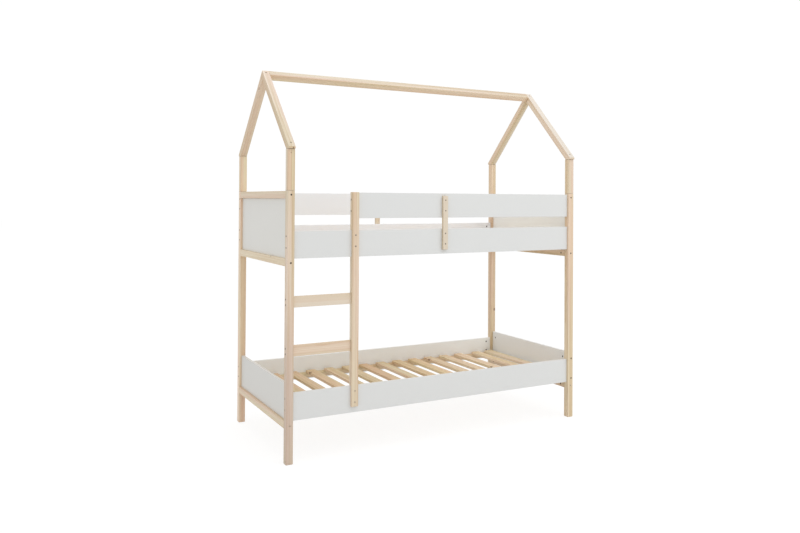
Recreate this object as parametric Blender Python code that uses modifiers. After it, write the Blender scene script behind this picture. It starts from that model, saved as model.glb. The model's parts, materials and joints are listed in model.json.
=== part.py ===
"""Bunk bed with a house-shaped roof frame, of square pine and white boards.

Metres, +Z up. The front faces -Y, the ladder stands at the front left, and
the origin lies on the floor under the middle of the bed.
"""

import math

import bmesh
import bpy
from mathutils import Matrix, Vector

# Overall frame
BED_LENGTH = 2.080
BED_WIDTH = 0.980
POST_SIDE = 0.042
POST_HEIGHT = 1.548
EXTENSION_HEIGHT = 0.237

# Fits and edges
FIT_GAP = 0.0003
EDGE_ROUND = 0.002
CUT_OVERRUN = 0.004

# Boards, painted white
BOARD_THICKNESS = 0.018
BOARD_SETBACK = 0.015
RIGHT_PANEL_SETBACK = 0.006
BOARD_EDGE_ROUND = 0.0015
GUARD_DROP = 0.008
GUARD_HEIGHT = 0.153
GUARD_OPENING = 0.070
UPPER_BOARD_HEIGHT = 0.157
LOWER_BOARD_HEIGHT = 0.158
LOWER_BOARD_CLEARANCE = 0.241

# End frames
END_RAIL_HEIGHT = 0.042
TOP_RAIL_HEIGHT = 0.043
TOP_RAIL_DROP = 0.003
RIGHT_FRAME_DROP = 0.005
UPPER_PANEL_HEIGHT = 0.344
LOWER_RAIL_CLEARANCE = 0.197
LOWER_PANEL_HEIGHT = 0.208

# Roof
RAFTER_SIDE = 0.042
RAFTER_INSET = 0.005
EAVE_OVERHANG = 0.010
ROOF_PITCH = math.radians(45)
RIDGE_SIDE = 0.042

# Ladder
STILE_WIDTH = 0.043
STILE_DEPTH = 0.036
STILE_OFFSET = 0.359
STILE_TOP_DROP = 0.006
STILE_LAP = 0.122
RUNG_HEIGHT = 0.063
RUNG_THICKNESS = 0.020
RUNG_COUNT = 2
FIRST_GAP_CUT = 0.009

# Cleats
CLEAT_WIDTH = 0.035
CLEAT_THICKNESS = 0.018
CLEAT_TOP_INSET = 0.017
CLEAT_FOOT_INSET = 0.026

# Slats and their ledgers
SLAT_COUNT = 15
SLATS_PER_SECTION = 5
SLAT_WIDTH = 0.068
SLAT_THICKNESS = 0.018
SLAT_MARGIN = 0.019
SLAT_END_GAP = 0.022
NEXT_TO_LAST_SLIDE = 0.027
LAST_SLIDE = 0.015
SLAT_CORNER = 0.008
LEDGER_WIDTH = 0.040
LEDGER_HEIGHT = 0.030
LEDGER_RISE = 0.016
TAPE_WIDTH = 0.025
TAPE_THICKNESS = 0.0015
TAPE_SINK = 0.0007
TAPE_INSET = 0.150

# Fasteners
BOLT_HEAD_RADIUS = 0.0055
BOLT_HEAD_DEPTH = 0.006
NUT_RADIUS = 0.006
NUT_DEPTH = 0.012
NUT_SETBACK = 0.038
BOARD_BOLT_SPACING = 0.066
BOARD_BOLT_DROP = 0.029
RUNG_BOLT_SPACING = 0.031
PANEL_BOLT_DROP = 0.043
PANEL_BOLT_SPACING = 0.136
SCREW_HEAD_RADIUS = 0.0045
SCREW_HEAD_DEPTH = 0.003
PIN_RADIUS = 0.003
PIN_LENGTH = 0.060
PIN_PLAY = 0.0003

# Curve steps
HOLE_STEPS = 12
EDGE_STEPS = 2
CORNER_STEPS = 3
CORNER_ANGLE = math.radians(50)
ROUND_PROFILE_SHARE = 0.5

# Colours and finish
PINE = {"colour": (0.76, 0.60, 0.42), "roughness": 0.55, "metallic": 0.0}
SLAT_PINE = {"colour": (0.70, 0.50, 0.28), "roughness": 0.60, "metallic": 0.0}
WHITE = {"colour": (0.80, 0.80, 0.78), "roughness": 0.40, "metallic": 0.0}
STEEL = {"colour": (0.55, 0.55, 0.56), "roughness": 0.35, "metallic": 1.0}

# Planes worked out from the sizes above
END_X = BED_LENGTH / 2
FACE_Y = BED_WIDTH / 2
POST_IN_X = END_X - POST_SIDE
POST_IN_Y = FACE_Y - POST_SIDE
BOARD_OUT_Y = FACE_Y - BOARD_SETBACK
BOARD_IN_Y = BOARD_OUT_Y - BOARD_THICKNESS
BOARD_MID_Y = (BOARD_OUT_Y + BOARD_IN_Y) / 2
POST_MID_X = END_X - POST_SIDE / 2
POST_MID_Y = FACE_Y - POST_SIDE / 2

GUARD_TOP = POST_HEIGHT - GUARD_DROP
GUARD_FOOT = GUARD_TOP - GUARD_HEIGHT
UPPER_BOARD_TOP = GUARD_FOOT - GUARD_OPENING
UPPER_BOARD_FOOT = UPPER_BOARD_TOP - UPPER_BOARD_HEIGHT
LOWER_BOARD_TOP = LOWER_BOARD_CLEARANCE + LOWER_BOARD_HEIGHT
TOP_RAIL_TOP = POST_HEIGHT - TOP_RAIL_DROP
TOP_RAIL_FOOT = TOP_RAIL_TOP - TOP_RAIL_HEIGHT
UPPER_RAIL_TOP = TOP_RAIL_FOOT - UPPER_PANEL_HEIGHT
UPPER_RAIL_FOOT = UPPER_RAIL_TOP - END_RAIL_HEIGHT
LOWER_RAIL_TOP = LOWER_RAIL_CLEARANCE + END_RAIL_HEIGHT
LOWER_PANEL_TOP = LOWER_RAIL_TOP + LOWER_PANEL_HEIGHT

EAVE_Z = POST_HEIGHT + EXTENSION_HEIGHT
ROOF_SLOPE = math.tan(ROOF_PITCH)
UNDERSIDE_Y = POST_IN_Y + RAFTER_INSET
UNDERSIDE_PEAK = EAVE_Z + UNDERSIDE_Y * ROOF_SLOPE
ROOF_PEAK = UNDERSIDE_PEAK + RAFTER_SIDE / math.cos(ROOF_PITCH)
EAVE_Y = FACE_Y + EAVE_OVERHANG

STILE_OUT_X = STILE_OFFSET - POST_IN_X
STILE_FAR_X = STILE_OUT_X + STILE_WIDTH
STILE_TOP = POST_HEIGHT - STILE_TOP_DROP
STILE_FOOT = LOWER_BOARD_TOP - STILE_LAP
STILE_MID_X = (STILE_OUT_X + STILE_FAR_X) / 2
RUNG_ROOM = UPPER_BOARD_FOOT - LOWER_BOARD_TOP + FIRST_GAP_CUT + RUNG_HEIGHT
RUNG_RISE = RUNG_ROOM / (RUNG_COUNT + 1)

SLAT_PITCH = (2 * (POST_IN_X - SLAT_MARGIN) - SLAT_WIDTH) / (SLAT_COUNT - 1)

ENDS = {"left": -1, "right": 1}
FACES = {"front": -1, "back": 1}
PANEL_OUT_X = {
    ENDS["left"]: END_X - BOARD_SETBACK,
    ENDS["right"]: END_X - RIGHT_PANEL_SETBACK,
}


def clear_scene():
    for thing in list(bpy.data.objects):
        bpy.data.objects.remove(thing, do_unlink=True)


def new_collection(name):
    collection = bpy.data.collections.new(name)
    bpy.context.scene.collection.children.link(collection)
    return collection


def own_material(name, finish):
    material = bpy.data.materials.new(name)
    material.use_nodes = True
    shader = material.node_tree.nodes["Principled BSDF"]
    shader.inputs["Base Color"].default_value = (*finish["colour"], 1)
    shader.inputs["Roughness"].default_value = finish["roughness"]
    shader.inputs["Metallic"].default_value = finish["metallic"]
    material.diffuse_color = (*finish["colour"], 1)
    return material


def add_object(name, mesh, finish, parts):
    """A named piece that takes the mesh and, on its own slot, its finish."""
    thing = bpy.data.objects.new(name, mesh)
    parts.objects.link(thing)
    if not mesh.materials:
        mesh.materials.append(None)
    thing.material_slots[0].link = "OBJECT"
    thing.material_slots[0].material = own_material(name, finish)
    return thing


def mesh_of(name, shape):
    mesh = bpy.data.meshes.new(name)
    shape.to_mesh(mesh)
    shape.free()
    return mesh


def add_box(shape, low, high):
    """Adds a box between two corners and returns its vertices."""
    low = Vector(low)
    high = Vector(high)
    place = Matrix.Translation((low + high) / 2) @ Matrix.Diagonal((*(high - low), 1))
    return bmesh.ops.create_cube(shape, size=1, matrix=place)["verts"]


def round_edges(thing, width, steps=EDGE_STEPS):
    bevel = thing.modifiers.new("Rounded edges", "BEVEL")
    bevel.width = width
    bevel.segments = steps
    bevel.limit_method = "ANGLE"
    bevel.angle_limit = CORNER_ANGLE
    bevel.use_clamp_overlap = True


def block(name, low, high, finish, parts, edge):
    """A piece sawn square: its origin is its middle, its edges are rounded."""
    low = Vector(low)
    high = Vector(high)
    half = (high - low) / 2
    shape = bmesh.new()
    add_box(shape, -half, half)
    thing = add_object(name, mesh_of(name, shape), finish, parts)
    thing.location = (low + high) / 2
    round_edges(thing, edge)
    return thing


def facing(side, near, far):
    """The two ends of a range, low first, on one side of the middle plane."""
    return tuple(sorted((side * near, side * far)))


def bolt_hole(point, inward):
    return {"at": point, "way": inward, "radius": BOLT_HEAD_RADIUS, "depth": BOLT_HEAD_DEPTH}


def nut_hole(point, inward):
    return {"at": point, "way": inward, "radius": NUT_RADIUS, "depth": NUT_DEPTH}


def screw_hole(point, inward):
    return {"at": point, "way": inward, "radius": SCREW_HEAD_RADIUS, "depth": SCREW_HEAD_DEPTH}


def add_drill(shape, hole):
    """A cylinder from just outside the surface down to the hole's floor."""
    way = Vector(hole["way"]).normalized()
    depth = hole["depth"] + CUT_OVERRUN
    middle = Vector(hole["at"]) + way * (hole["depth"] - CUT_OVERRUN) / 2
    turn = Vector((0, 0, 1)).rotation_difference(way).to_matrix().to_4x4()
    bmesh.ops.create_cone(
        shape,
        cap_ends=True,
        segments=HOLE_STEPS,
        radius1=hole["radius"],
        radius2=hole["radius"],
        depth=depth,
        matrix=Matrix.Translation(middle) @ turn,
    )


def cut_away(thing, shape, cutters):
    """Cuts the shape, drawn in world coordinates, out of the piece."""
    name = thing.name + "_cutter"
    cutter = bpy.data.objects.new(name, mesh_of(name, shape))
    cutters.objects.link(cutter)
    cutter.hide_render = True
    cutter.display_type = "WIRE"
    cut = thing.modifiers.new("Cut", "BOOLEAN")
    cut.operation = "DIFFERENCE"
    cut.solver = "EXACT"
    cut.object = cutter


def drill(thing, holes, cutters):
    shape = bmesh.new()
    for hole in holes:
        add_drill(shape, hole)
    cut_away(thing, shape, cutters)


def pair(middle, spacing):
    return (middle + spacing / 2, middle - spacing / 2)


def board_bolts(top):
    """Heights of the two bolts in a side board, which sit towards its top."""
    return pair(top - BOARD_BOLT_DROP - BOARD_BOLT_SPACING / 2, BOARD_BOLT_SPACING)


def guard_bolts():
    return pair((GUARD_TOP + GUARD_FOOT) / 2, BOARD_BOLT_SPACING)


def rung_middles():
    """Evenly spaced under the upper side board, with a smaller gap at the bottom."""
    last = UPPER_BOARD_FOOT + RUNG_HEIGHT / 2
    return [last - (RUNG_COUNT - step) * RUNG_RISE for step in range(RUNG_COUNT)]


def rung_bolts():
    heights = []
    for middle in rung_middles():
        heights.extend(pair(middle, RUNG_BOLT_SPACING))
    return heights


def panel_bolts():
    top = LOWER_PANEL_TOP - PANEL_BOLT_DROP
    return (top, top - PANEL_BOLT_SPACING)


def frame_drop(end):
    """How much lower the upper panel and its two rails sit at this end."""
    return RIGHT_FRAME_DROP if end == ENDS["right"] else 0


def rail_middles(end):
    return (
        (TOP_RAIL_TOP + TOP_RAIL_FOOT) / 2 - frame_drop(end),
        (UPPER_RAIL_TOP + UPPER_RAIL_FOOT) / 2 - frame_drop(end),
        (LOWER_RAIL_TOP + LOWER_RAIL_CLEARANCE) / 2,
    )


def post_holes(end, face):
    """Recesses for the bolt heads, in the end face and in the long face."""
    end_heights = [*board_bolts(UPPER_BOARD_TOP), *board_bolts(LOWER_BOARD_TOP)]
    if (end, face) == (ENDS["left"], FACES["front"]):
        end_heights.extend(rung_bolts())
    else:
        end_heights.extend(guard_bolts())
    holes = []
    for height in end_heights:
        holes.append(bolt_hole((end * END_X, face * BOARD_MID_Y, height), (-end, 0, 0)))
    for height in rail_middles(end):
        holes.append(bolt_hole((end * POST_MID_X, face * FACE_Y, height), (0, -face, 0)))
    if end == ENDS["right"]:
        across = end * (PANEL_OUT_X[end] - BOARD_THICKNESS / 2)
        for height in panel_bolts():
            holes.append(bolt_hole((across, face * FACE_Y, height), (0, -face, 0)))
    return holes


def pin_bore(end, face, height, way):
    return {
        "at": (end * POST_MID_X, face * POST_MID_Y, height),
        "way": (0, 0, way),
        "radius": PIN_RADIUS + PIN_PLAY,
        "depth": PIN_LENGTH / 2 + PIN_PLAY,
    }


def add_post(place, end, face, parts, cutters):
    x = facing(end, POST_IN_X, END_X)
    y = facing(face, POST_IN_Y, FACE_Y)
    post = block("post_" + place, (x[0], y[0], 0), (x[1], y[1], POST_HEIGHT), PINE, parts, EDGE_ROUND)
    drill(post, [*post_holes(end, face), pin_bore(end, face, POST_HEIGHT, -1)], cutters)


def add_extension(place, end, face, parts, cutters):
    x = facing(end, POST_IN_X, END_X)
    y = facing(face, POST_IN_Y, FACE_Y)
    foot = POST_HEIGHT + FIT_GAP
    top = EAVE_Z - FIT_GAP
    low = (x[0], y[0], foot)
    high = (x[1], y[1], top)
    extension = block("roof_post_" + place, low, high, PINE, parts, EDGE_ROUND)
    drill(extension, [pin_bore(end, face, foot, 1)], cutters)


def add_pin(place, end, face, parts):
    """A steel pin, half of it in the post and half in the extension."""
    shape = bmesh.new()
    bmesh.ops.create_cone(
        shape,
        cap_ends=True,
        segments=HOLE_STEPS,
        radius1=PIN_RADIUS,
        radius2=PIN_RADIUS,
        depth=PIN_LENGTH,
    )
    pin = add_object("roof_pin_" + place, mesh_of("roof_pin", shape), STEEL, parts)
    pin.location = (end * POST_MID_X, face * POST_MID_Y, POST_HEIGHT + FIT_GAP / 2)
    pin.data.shade_smooth()
    pin.data.set_sharp_from_angle(angle=CORNER_ANGLE)


def add_corners(parts, cutters):
    for end_name, end in ENDS.items():
        for face_name, face in FACES.items():
            place = face_name + "_" + end_name
            add_post(place, end, face, parts, cutters)
            add_extension(place, end, face, parts, cutters)
            add_pin(place, end, face, parts)


def rail_nuts(end, height, inner_x):
    """Nuts near both ends of a piece that spans the end frame."""
    reach = POST_IN_Y - NUT_SETBACK
    return [nut_hole((end * inner_x, face * reach, height), (end, 0, 0)) for face in (-1, 1)]


def add_end_rail(name, end, foot, top, parts, cutters):
    x = facing(end, POST_IN_X, END_X)
    reach = POST_IN_Y - FIT_GAP
    rail = block(name, (x[0], -reach, foot), (x[1], reach, top), PINE, parts, EDGE_ROUND)
    drill(rail, rail_nuts(end, (foot + top) / 2, POST_IN_X), cutters)


def add_end_panel(name, end, foot, top, parts):
    x = facing(end, PANEL_OUT_X[end] - BOARD_THICKNESS, PANEL_OUT_X[end])
    reach = POST_IN_Y - FIT_GAP
    return block(name, (x[0], -reach, foot), (x[1], reach, top), WHITE, parts, BOARD_EDGE_ROUND)


def add_end_frame(end_name, end, parts, cutters):
    drop = frame_drop(end)
    foot, top = TOP_RAIL_FOOT - drop, TOP_RAIL_TOP - drop
    add_end_rail("end_top_rail_" + end_name, end, foot, top, parts, cutters)
    panel_top = foot - FIT_GAP
    foot, top = UPPER_RAIL_FOOT - drop, UPPER_RAIL_TOP - drop
    add_end_rail("upper_end_rail_" + end_name, end, foot, top, parts, cutters)
    add_end_panel("upper_end_panel_" + end_name, end, top + FIT_GAP, panel_top, parts)
    foot, top = LOWER_RAIL_CLEARANCE, LOWER_RAIL_TOP
    add_end_rail("lower_end_rail_" + end_name, end, foot, top, parts, cutters)
    lower_foot = LOWER_RAIL_TOP + FIT_GAP
    lower = add_end_panel("lower_end_panel_" + end_name, end, lower_foot, LOWER_PANEL_TOP, parts)
    if end == ENDS["right"]:
        nuts = []
        for height in panel_bolts():
            nuts.extend(rail_nuts(end, height, PANEL_OUT_X[end] - BOARD_THICKNESS))
        drill(lower, nuts, cutters)


def add_side_board(name, face, x, z, bolt_heights, parts, cutters):
    """A long board with a nut hole near each end, bored from its inner face."""
    y = facing(face, BOARD_IN_Y, BOARD_OUT_Y)
    low = (x[0] + FIT_GAP, y[0], z[0])
    high = (x[1] - FIT_GAP, y[1], z[1])
    board = block(name, low, high, WHITE, parts, BOARD_EDGE_ROUND)
    nuts = []
    for height in bolt_heights:
        for across in (x[0] + NUT_SETBACK, x[1] - NUT_SETBACK):
            nuts.append(nut_hole((across, face * BOARD_IN_Y, height), (0, face, 0)))
    drill(board, nuts, cutters)


def add_side_boards(face_name, face, parts, cutters):
    full = (-POST_IN_X, POST_IN_X)
    guard = (STILE_FAR_X, POST_IN_X) if face == FACES["front"] else full
    guard_z = (GUARD_FOOT, GUARD_TOP)
    upper_z = (UPPER_BOARD_FOOT, UPPER_BOARD_TOP)
    lower_z = (LOWER_BOARD_CLEARANCE, LOWER_BOARD_TOP)
    upper_bolts = board_bolts(UPPER_BOARD_TOP)
    lower_bolts = board_bolts(LOWER_BOARD_TOP)
    name = "guard_board_" + face_name
    add_side_board(name, face, guard, guard_z, guard_bolts(), parts, cutters)
    name = "upper_side_board_" + face_name
    add_side_board(name, face, full, upper_z, upper_bolts, parts, cutters)
    name = "lower_side_board_" + face_name
    add_side_board(name, face, full, lower_z, lower_bolts, parts, cutters)


def add_cleat(face_name, face, parts, cutters):
    near = BOARD_OUT_Y + FIT_GAP
    outer = near + CLEAT_THICKNESS
    y = facing(face, near, outer)
    low = (-CLEAT_WIDTH / 2, y[0], UPPER_BOARD_FOOT + CLEAT_FOOT_INSET)
    high = (CLEAT_WIDTH / 2, y[1], GUARD_TOP - CLEAT_TOP_INSET)
    cleat = block("cleat_" + face_name, low, high, PINE, parts, EDGE_ROUND)
    heights = (*guard_bolts(), *board_bolts(UPPER_BOARD_TOP))
    screws = [screw_hole((0, face * outer, height), (0, -face, 0)) for height in heights]
    drill(cleat, screws, cutters)


def stile_holes():
    holes = []
    for height in (*board_bolts(UPPER_BOARD_TOP), *board_bolts(LOWER_BOARD_TOP)):
        holes.append(bolt_hole((STILE_MID_X, -FACE_Y, height), (0, 1, 0)))
    for height in guard_bolts():
        holes.append(bolt_hole((STILE_OUT_X, -BOARD_MID_Y, height), (1, 0, 0)))
    for height in rung_bolts():
        holes.append(bolt_hole((STILE_FAR_X, -BOARD_MID_Y, height), (-1, 0, 0)))
    return holes


def add_stile_notch(shape, foot, top):
    """The stile is thinned from behind where it passes over a side board."""
    low = (STILE_OUT_X - CUT_OVERRUN, -BOARD_OUT_Y - FIT_GAP, foot)
    high = (STILE_FAR_X + CUT_OVERRUN, STILE_DEPTH + CUT_OVERRUN - FACE_Y, top)
    add_box(shape, low, high)


def add_stile(parts, cutters):
    low = (STILE_OUT_X, -FACE_Y, STILE_FOOT)
    high = (STILE_FAR_X, STILE_DEPTH - FACE_Y, STILE_TOP)
    stile = block("ladder_stile", low, high, PINE, parts, EDGE_ROUND)
    shape = bmesh.new()
    add_stile_notch(shape, UPPER_BOARD_FOOT - FIT_GAP, UPPER_BOARD_TOP + FIT_GAP)
    add_stile_notch(shape, STILE_FOOT - CUT_OVERRUN, LOWER_BOARD_TOP + FIT_GAP)
    for hole in stile_holes():
        add_drill(shape, hole)
    cut_away(stile, shape, cutters)


def add_rungs(parts):
    for step, middle in enumerate(rung_middles()):
        low = (FIT_GAP - POST_IN_X, -BOARD_OUT_Y, middle - RUNG_HEIGHT / 2)
        high = (STILE_OUT_X - FIT_GAP, RUNG_THICKNESS - BOARD_OUT_Y, middle + RUNG_HEIGHT / 2)
        block("ladder_rung_" + str(step + 1), low, high, PINE, parts, EDGE_ROUND)


def slat_top(board_foot):
    return board_foot + LEDGER_RISE + LEDGER_HEIGHT + FIT_GAP + SLAT_THICKNESS


def add_ledger(name, face, board_foot, parts):
    near = BOARD_IN_Y - FIT_GAP
    y = facing(face, near - LEDGER_WIDTH, near)
    foot = board_foot + LEDGER_RISE
    low = (FIT_GAP - POST_IN_X, y[0], foot)
    high = (POST_IN_X - FIT_GAP, y[1], foot + LEDGER_HEIGHT)
    block(name, low, high, PINE, parts, EDGE_ROUND)


def add_slat_shape(shape, x):
    """One flat slat with rounded corners, centred on height zero."""
    reach = BOARD_IN_Y - SLAT_END_GAP
    low = (x - SLAT_WIDTH / 2, -reach, -SLAT_THICKNESS / 2)
    high = (x + SLAT_WIDTH / 2, reach, SLAT_THICKNESS / 2)
    corners = add_box(shape, low, high)
    upright = set()
    for corner in corners:
        for edge in corner.link_edges:
            along = edge.verts[0].co - edge.verts[1].co
            if abs(along.z) > max(abs(along.x), abs(along.y)):
                upright.add(edge)
    bmesh.ops.bevel(
        shape,
        geom=list(upright),
        offset=SLAT_CORNER,
        offset_type="OFFSET",
        segments=CORNER_STEPS,
        profile=ROUND_PROFILE_SHARE,
        affect="EDGES",
    )


def slat_places():
    first = -SLAT_PITCH * (SLAT_COUNT - 1) / 2
    return [first + index * SLAT_PITCH for index in range(SLAT_COUNT)]


def add_lower_slats(parts):
    """The lower slats lie loose, and the last two have slid towards the right end."""
    slides = {SLAT_COUNT - 1: NEXT_TO_LAST_SLIDE, SLAT_COUNT: LAST_SLIDE}
    shape = bmesh.new()
    add_slat_shape(shape, 0)
    mesh = mesh_of("slat", shape)
    height = slat_top(LOWER_BOARD_CLEARANCE) - SLAT_THICKNESS / 2
    for index, x in enumerate(slat_places()):
        number = index + 1
        slat = add_object("lower_slat_" + str(number), mesh, SLAT_PINE, parts)
        slat.location = (x + slides.get(number, 0), 0, height)
        round_edges(slat, EDGE_ROUND, 1)


def add_tapes(section, places, cutters):
    """Two tapes, let a little into the undersides of a section's slats."""
    shape = bmesh.new()
    top = TAPE_SINK - SLAT_THICKNESS / 2
    for side in FACES.values():
        y = facing(side, BOARD_IN_Y - TAPE_INSET - TAPE_WIDTH, BOARD_IN_Y - TAPE_INSET)
        add_box(shape, (places[0], y[0], top - TAPE_THICKNESS), (places[-1], y[1], top))
    tapes = bpy.data.objects.new(section.name + "_tapes", mesh_of("slat_tapes", shape))
    cutters.objects.link(tapes)
    tapes.hide_render = True
    tapes.display_type = "WIRE"
    tapes.parent = section
    join = section.modifiers.new("Tapes", "BOOLEAN")
    join.operation = "UNION"
    join.solver = "EXACT"
    join.object = tapes


def add_upper_slats(parts, cutters):
    """The upper slats lie in sections, each held together by tapes as a roll is."""
    places = slat_places()
    for index, first in enumerate(range(0, SLAT_COUNT, SLATS_PER_SECTION)):
        own_places = places[first:first + SLATS_PER_SECTION]
        shape = bmesh.new()
        for x in own_places:
            add_slat_shape(shape, x)
        name = "upper_slat_section_" + str(index + 1)
        section = add_object(name, mesh_of(name, shape), SLAT_PINE, parts)
        section.location.z = slat_top(UPPER_BOARD_FOOT) - SLAT_THICKNESS / 2
        round_edges(section, EDGE_ROUND, 1)
        add_tapes(section, own_places, cutters)


def add_mattress_bases(parts, cutters):
    for face_name, face in FACES.items():
        add_ledger("lower_ledger_" + face_name, face, LOWER_BOARD_CLEARANCE, parts)
        add_ledger("upper_ledger_" + face_name, face, UPPER_BOARD_FOOT, parts)
    add_lower_slats(parts)
    add_upper_slats(parts, cutters)


def flat_outline(name, points, thickness):
    """A mesh of the outline, drawn in X and Y and thickened along Z."""
    curve = bpy.data.curves.new(name, "CURVE")
    curve.dimensions = "2D"
    curve.fill_mode = "BOTH"
    curve.extrude = thickness / 2
    line = curve.splines.new("POLY")
    line.points.add(len(points) - 1)
    for spot, (x, y) in zip(line.points, points):
        spot.co = Vector((x, y)).to_4d()
    line.use_cyclic_u = True
    drawn = bpy.data.objects.new(name, curve)
    bpy.context.scene.collection.objects.link(drawn)
    graph = bpy.context.evaluated_depsgraph_get()
    mesh = bpy.data.meshes.new_from_object(drawn.evaluated_get(graph))
    bpy.data.objects.remove(drawn, do_unlink=True)
    shape = bmesh.new()
    shape.from_mesh(mesh)
    bmesh.ops.remove_doubles(shape, verts=shape.verts, dist=FIT_GAP / 10)
    bmesh.ops.dissolve_limit(
        shape, angle_limit=CORNER_ANGLE / 10, verts=shape.verts, edges=shape.edges
    )
    bmesh.ops.recalc_face_normals(shape, faces=shape.faces)
    shape.to_mesh(mesh)
    shape.free()
    return mesh


def rafter_outline(long_end):
    """Foot, eave and peak of a rafter, as distances from the ridge line and heights.

    The front rafter runs past the middle to the back slope. The back rafter
    stops against the underside of the front one.
    """
    eave_rise = ROOF_PEAK - EAVE_Y * ROOF_SLOPE
    half_step = (ROOF_PEAK - UNDERSIDE_PEAK) / (2 * ROOF_SLOPE)
    shoulder_z = (ROOF_PEAK + UNDERSIDE_PEAK) / 2
    foot = [(UNDERSIDE_Y, EAVE_Z), (EAVE_Y, EAVE_Z), (EAVE_Y, eave_rise)]
    if long_end:
        return [*foot, (0, ROOF_PEAK), (-half_step, shoulder_z)]
    slip = FIT_GAP / math.sin(ROOF_PITCH)
    return [*foot, (half_step + slip / 2, shoulder_z - slip / 2), (slip / 2, UNDERSIDE_PEAK - slip / 2)]


def slope_screw(end, face, across):
    """A screw square to a rafter's upper face, at a distance from the ridge line."""
    place = (end * POST_MID_X, face * across, ROOF_PEAK - across * ROOF_SLOPE)
    return screw_hole(place, (0, -face * math.sin(ROOF_PITCH), -math.cos(ROOF_PITCH)))


def rafter_screws(end, face):
    """A screw through the foot into the post, and one that joins the rafters at the peak."""
    screws = [slope_screw(end, face, (UNDERSIDE_Y + EAVE_Y) / 2)]
    if face == FACES["front"]:
        screws.append(slope_screw(end, face, RAFTER_SIDE / 2 * math.cos(ROOF_PITCH)))
    return screws


def add_rafter(end_name, end, face_name, face, parts, cutters):
    name = "rafter_" + face_name + "_" + end_name
    points = [(face * y, z) for y, z in rafter_outline(face == FACES["front"])]
    rafter = add_object(name, flat_outline(name, points, POST_SIDE), PINE, parts)
    rafter.rotation_euler = (math.pi / 2, 0, math.pi / 2)
    rafter.location.x = end * POST_MID_X
    round_edges(rafter, EDGE_ROUND)
    drill(rafter, rafter_screws(end, face), cutters)


def add_ridge(parts):
    """The ridge bar stands on edge, its upper faces in line with the rafters."""
    half = RIDGE_SIDE / 2
    reach = POST_IN_X - FIT_GAP
    shape = bmesh.new()
    add_box(shape, (-reach, -half, -half), (reach, half, half))
    ridge = add_object("ridge_bar", mesh_of("ridge_bar", shape), PINE, parts)
    ridge.location.z = ROOF_PEAK - half * math.sqrt(2)
    ridge.rotation_euler.x = math.pi / 4
    round_edges(ridge, EDGE_ROUND)


def add_roof(parts, cutters):
    for end_name, end in ENDS.items():
        for face_name, face in FACES.items():
            add_rafter(end_name, end, face_name, face, parts, cutters)
    add_ridge(parts)


def build():
    clear_scene()
    parts = new_collection("bunk_bed")
    cutters = new_collection("cutters")
    add_corners(parts, cutters)
    for end_name, end in ENDS.items():
        add_end_frame(end_name, end, parts, cutters)
    for face_name, face in FACES.items():
        add_side_boards(face_name, face, parts, cutters)
        add_cleat(face_name, face, parts, cutters)
    add_stile(parts, cutters)
    add_rungs(parts)
    add_mattress_bases(parts, cutters)
    add_roof(parts, cutters)


build()
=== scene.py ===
"""Looks of the bunk bed: finishes, fasteners, the upper slats, camera, floor and light.

Metres, +Z up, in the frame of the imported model. The front faces -Y.
"""

import json
import math
import random

import bmesh
import bpy
from mathutils import Matrix, Quaternion, Vector


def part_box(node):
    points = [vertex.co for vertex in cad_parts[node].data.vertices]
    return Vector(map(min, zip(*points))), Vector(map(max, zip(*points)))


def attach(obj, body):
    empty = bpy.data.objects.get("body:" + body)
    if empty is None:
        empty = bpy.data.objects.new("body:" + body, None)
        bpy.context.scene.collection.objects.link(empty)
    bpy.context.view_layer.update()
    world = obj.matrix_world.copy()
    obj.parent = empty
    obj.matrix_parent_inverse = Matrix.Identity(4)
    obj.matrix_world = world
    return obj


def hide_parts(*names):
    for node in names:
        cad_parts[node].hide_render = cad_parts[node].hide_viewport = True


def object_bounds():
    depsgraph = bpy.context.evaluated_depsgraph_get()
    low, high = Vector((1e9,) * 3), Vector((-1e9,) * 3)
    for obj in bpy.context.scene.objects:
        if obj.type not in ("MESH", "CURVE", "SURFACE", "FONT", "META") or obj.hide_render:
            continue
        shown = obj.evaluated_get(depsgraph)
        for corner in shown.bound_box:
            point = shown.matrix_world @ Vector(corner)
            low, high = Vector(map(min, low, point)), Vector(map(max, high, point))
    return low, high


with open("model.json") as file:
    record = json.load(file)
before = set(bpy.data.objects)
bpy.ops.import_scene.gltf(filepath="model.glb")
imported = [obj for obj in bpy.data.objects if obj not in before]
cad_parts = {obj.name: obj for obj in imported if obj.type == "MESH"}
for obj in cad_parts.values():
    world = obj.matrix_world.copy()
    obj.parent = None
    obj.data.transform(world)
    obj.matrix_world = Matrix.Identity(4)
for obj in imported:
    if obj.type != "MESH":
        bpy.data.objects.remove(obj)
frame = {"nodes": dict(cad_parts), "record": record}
CAD_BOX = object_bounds()

# Camera, as the photograph was taken
IMAGE_WIDTH = 800
CAMERA_PLACE = Vector((-2.4918, -4.6000, 1.5016))
CAMERA_YAW = 0.50650
CAMERA_PITCH = 0.01012
CAMERA_ROLL = 0.00577
SENSOR_WIDTH = 36.0
FOCAL_PIXELS = 762.06
CAMERA_SHIFT = (-0.02034, -0.09367)

# Light and floor
WORLD_LEVEL = 0.81
SEEN_LEVEL = 1.01
KEY = {"place": (-0.36, -0.98, 6.04), "size": 4.0, "power": 74}
FILL = {"place": (3.05, -4.36, 4.88), "size": 4.0, "power": 64}
FLOOR_REACH = 40.0
FLOOR_DROP = 0.0005
FLOOR_COLOUR = (0.84, 0.86, 0.88, 1)
FLOOR_SEEN_COLOUR = (0.22, 0.22, 0.22, 1)
FLOOR_GLOW = 0.83

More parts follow.
